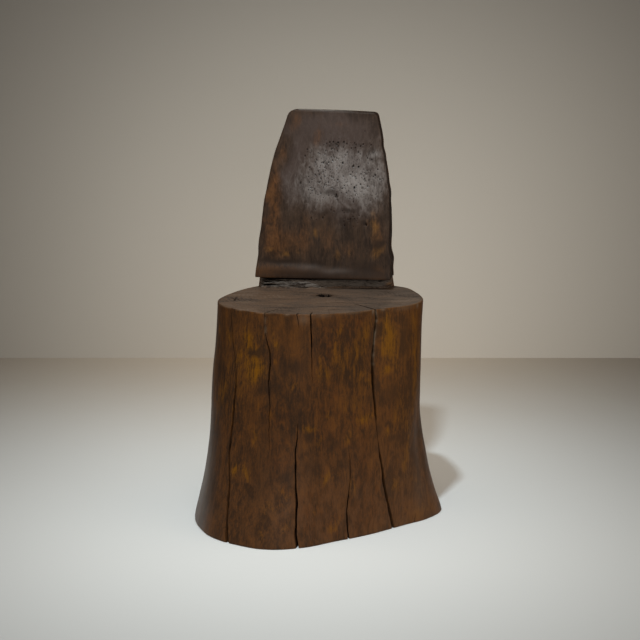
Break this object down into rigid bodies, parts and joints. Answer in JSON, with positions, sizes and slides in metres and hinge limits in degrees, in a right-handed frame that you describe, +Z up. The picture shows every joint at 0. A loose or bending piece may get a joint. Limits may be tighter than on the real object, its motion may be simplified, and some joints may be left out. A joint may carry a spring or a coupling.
{
  "type": "tree trunk chair",
  "caption": "Low-backed chair cut from a flared log: flat sawn seat, rough ledge at its rear, and a tapered slab standing on the ledge as the back.",
  "frame": {"origin": "on the floor, on the centre line of the log", "axes": "+Z up, the front of the seat towards -Y with the back slab on the +Y side, +X to the viewer's right when facing the chair"},
  "size_m": [0.5016, 0.4759, 0.8183],
  "materials": {
    "trunk_wood": "dark brown waxed wood with golden patches, satin",
    "slab_wood": "weathered grey-brown waxed wood with rust patches and small pits, satin",
    "dowel_wood": "plain turned hardwood, dull"
  },
  "bodies": {
    "root": {"trunk": "trunk_wood", "back_slab": "slab_wood", "back_dowel_left": "dowel_wood", "back_dowel_middle": "dowel_wood", "back_dowel_right": "dowel_wood"}
  },
  "joints": []
}
